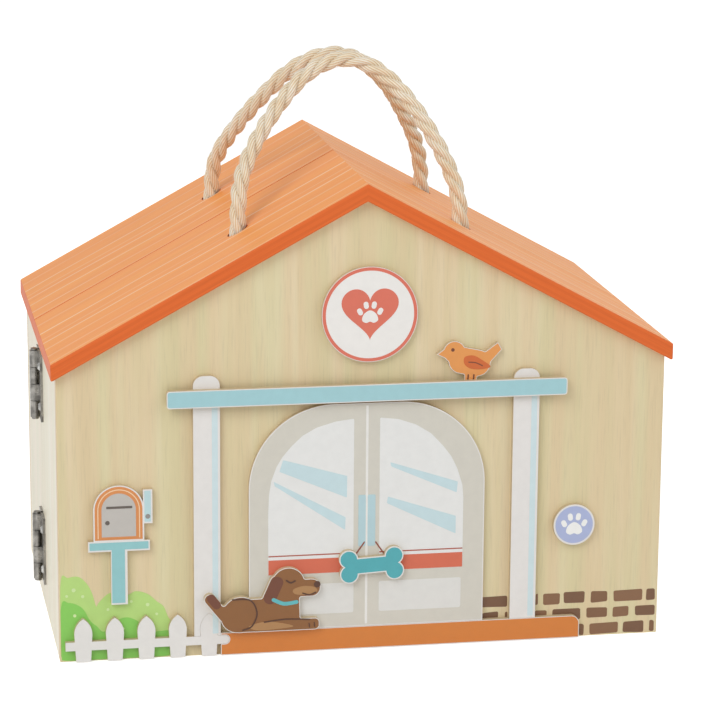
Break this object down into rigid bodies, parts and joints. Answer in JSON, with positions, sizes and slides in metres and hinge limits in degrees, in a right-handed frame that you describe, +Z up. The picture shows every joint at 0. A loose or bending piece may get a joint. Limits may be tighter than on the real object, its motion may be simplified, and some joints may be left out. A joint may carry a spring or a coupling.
{
  "type": "toy vet kit",
  "caption": "House-shaped wooden toy carry case that hinges open like a book on the left, with two rope handles and a rack of play vet instruments inside.",
  "frame": {"origin": "on the ground under the middle of the closed case, on the seam between the two halves", "axes": "+X to the right along the front wall, +Y from the printed front wall to the rear wall, +Z up"},
  "size_m": [0.3084, 0.201, 0.2855],
  "materials": {
    "front_ply": "pale varnished plywood, grain upright",
    "side_ply": "pale varnished plywood",
    "floor_ply": "plain plywood",
    "roof_stain": "orange-stained plywood",
    "rope": "twisted cotton rope",
    "hinge_steel": "nickel-plated steel",
    "screw_steel": "plated steel",
    "magnet_nickel": "nickel plate",
    "white_print": "thin board printed white",
    "blue_print": "thin board printed pale blue",
    "orange_print": "thin board printed orange-brown",
    "door_print": "thin board printed grey-beige",
    "mailbox_print": "thin board, printed",
    "sign_print": "thin board, printed",
    "paw_print": "thin board printed lavender blue",
    "bone_print": "thin board printed teal",
    "dog_print": "thin board printed brown",
    "bird_print": "thin board printed orange",
    "tool_white": "turned wood painted white",
    "tool_blue": "turned wood painted pale blue",
    "tool_orange": "turned wood painted orange",
    "tool_beech": "oiled beech"
  },
  "bodies": {
    "rear_half": {"rear_gable_wall": "front_ply", "rear_left_wall": "side_ply", "rear_right_wall": "side_ply", "rear_floor": "floor_ply", "rear_left_roof": "roof_stain", "rear_right_roof": "roof_stain", "rear_rope": "rope", "rear_rope_knots": "rope", "rear_hinge_leaves": "hinge_steel", "rear_hinge_screws": "screw_steel", "rear_magnets": "magnet_nickel", "hinge_pins": "hinge_steel", "tool_rack": "floor_ply", "thermometer": "tool_white", "syringe_barrel": "tool_blue", "otoscope_handle": "tool_beech", "otoscope_head": "tool_orange", "comb": "tool_beech", "medicine_bottle": "tool_white", "bottle_cap": "tool_orange"},
    "front_half": {"front_gable_wall": "front_ply", "front_left_wall": "side_ply", "front_right_wall": "side_ply", "front_floor": "floor_ply", "front_left_roof": "roof_stain", "front_right_roof": "roof_stain", "front_rope": "rope", "front_rope_knots": "rope", "front_hinge_leaves": "hinge_steel", "front_hinge_screws": "screw_steel", "front_magnets": "magnet_nickel", "left_post": "white_print", "right_post": "white_print", "beam": "blue_print", "step": "orange_print", "door": "door_print", "fence": "white_print", "mailbox": "mailbox_print", "round_sign": "sign_print", "paw_sign": "paw_print", "bone_sign": "bone_print", "dog": "dog_print", "bird": "bird_print"},
    "plunger": {"syringe_plunger": "tool_orange"}
  },
  "joints": [
    {"name": "front_half_swing", "type": "hinge", "parent": "rear_half", "child": "front_half", "pos_m": [-0.1532, 0, 0.074], "axis": [0, 0, -1], "range_deg": [0, 180]},
    {"name": "syringe_plunger_slide", "type": "slide", "parent": "rear_half", "child": "plunger", "axis": [0, 0, 1], "range_m": [0, 0.028]}
  ]
}
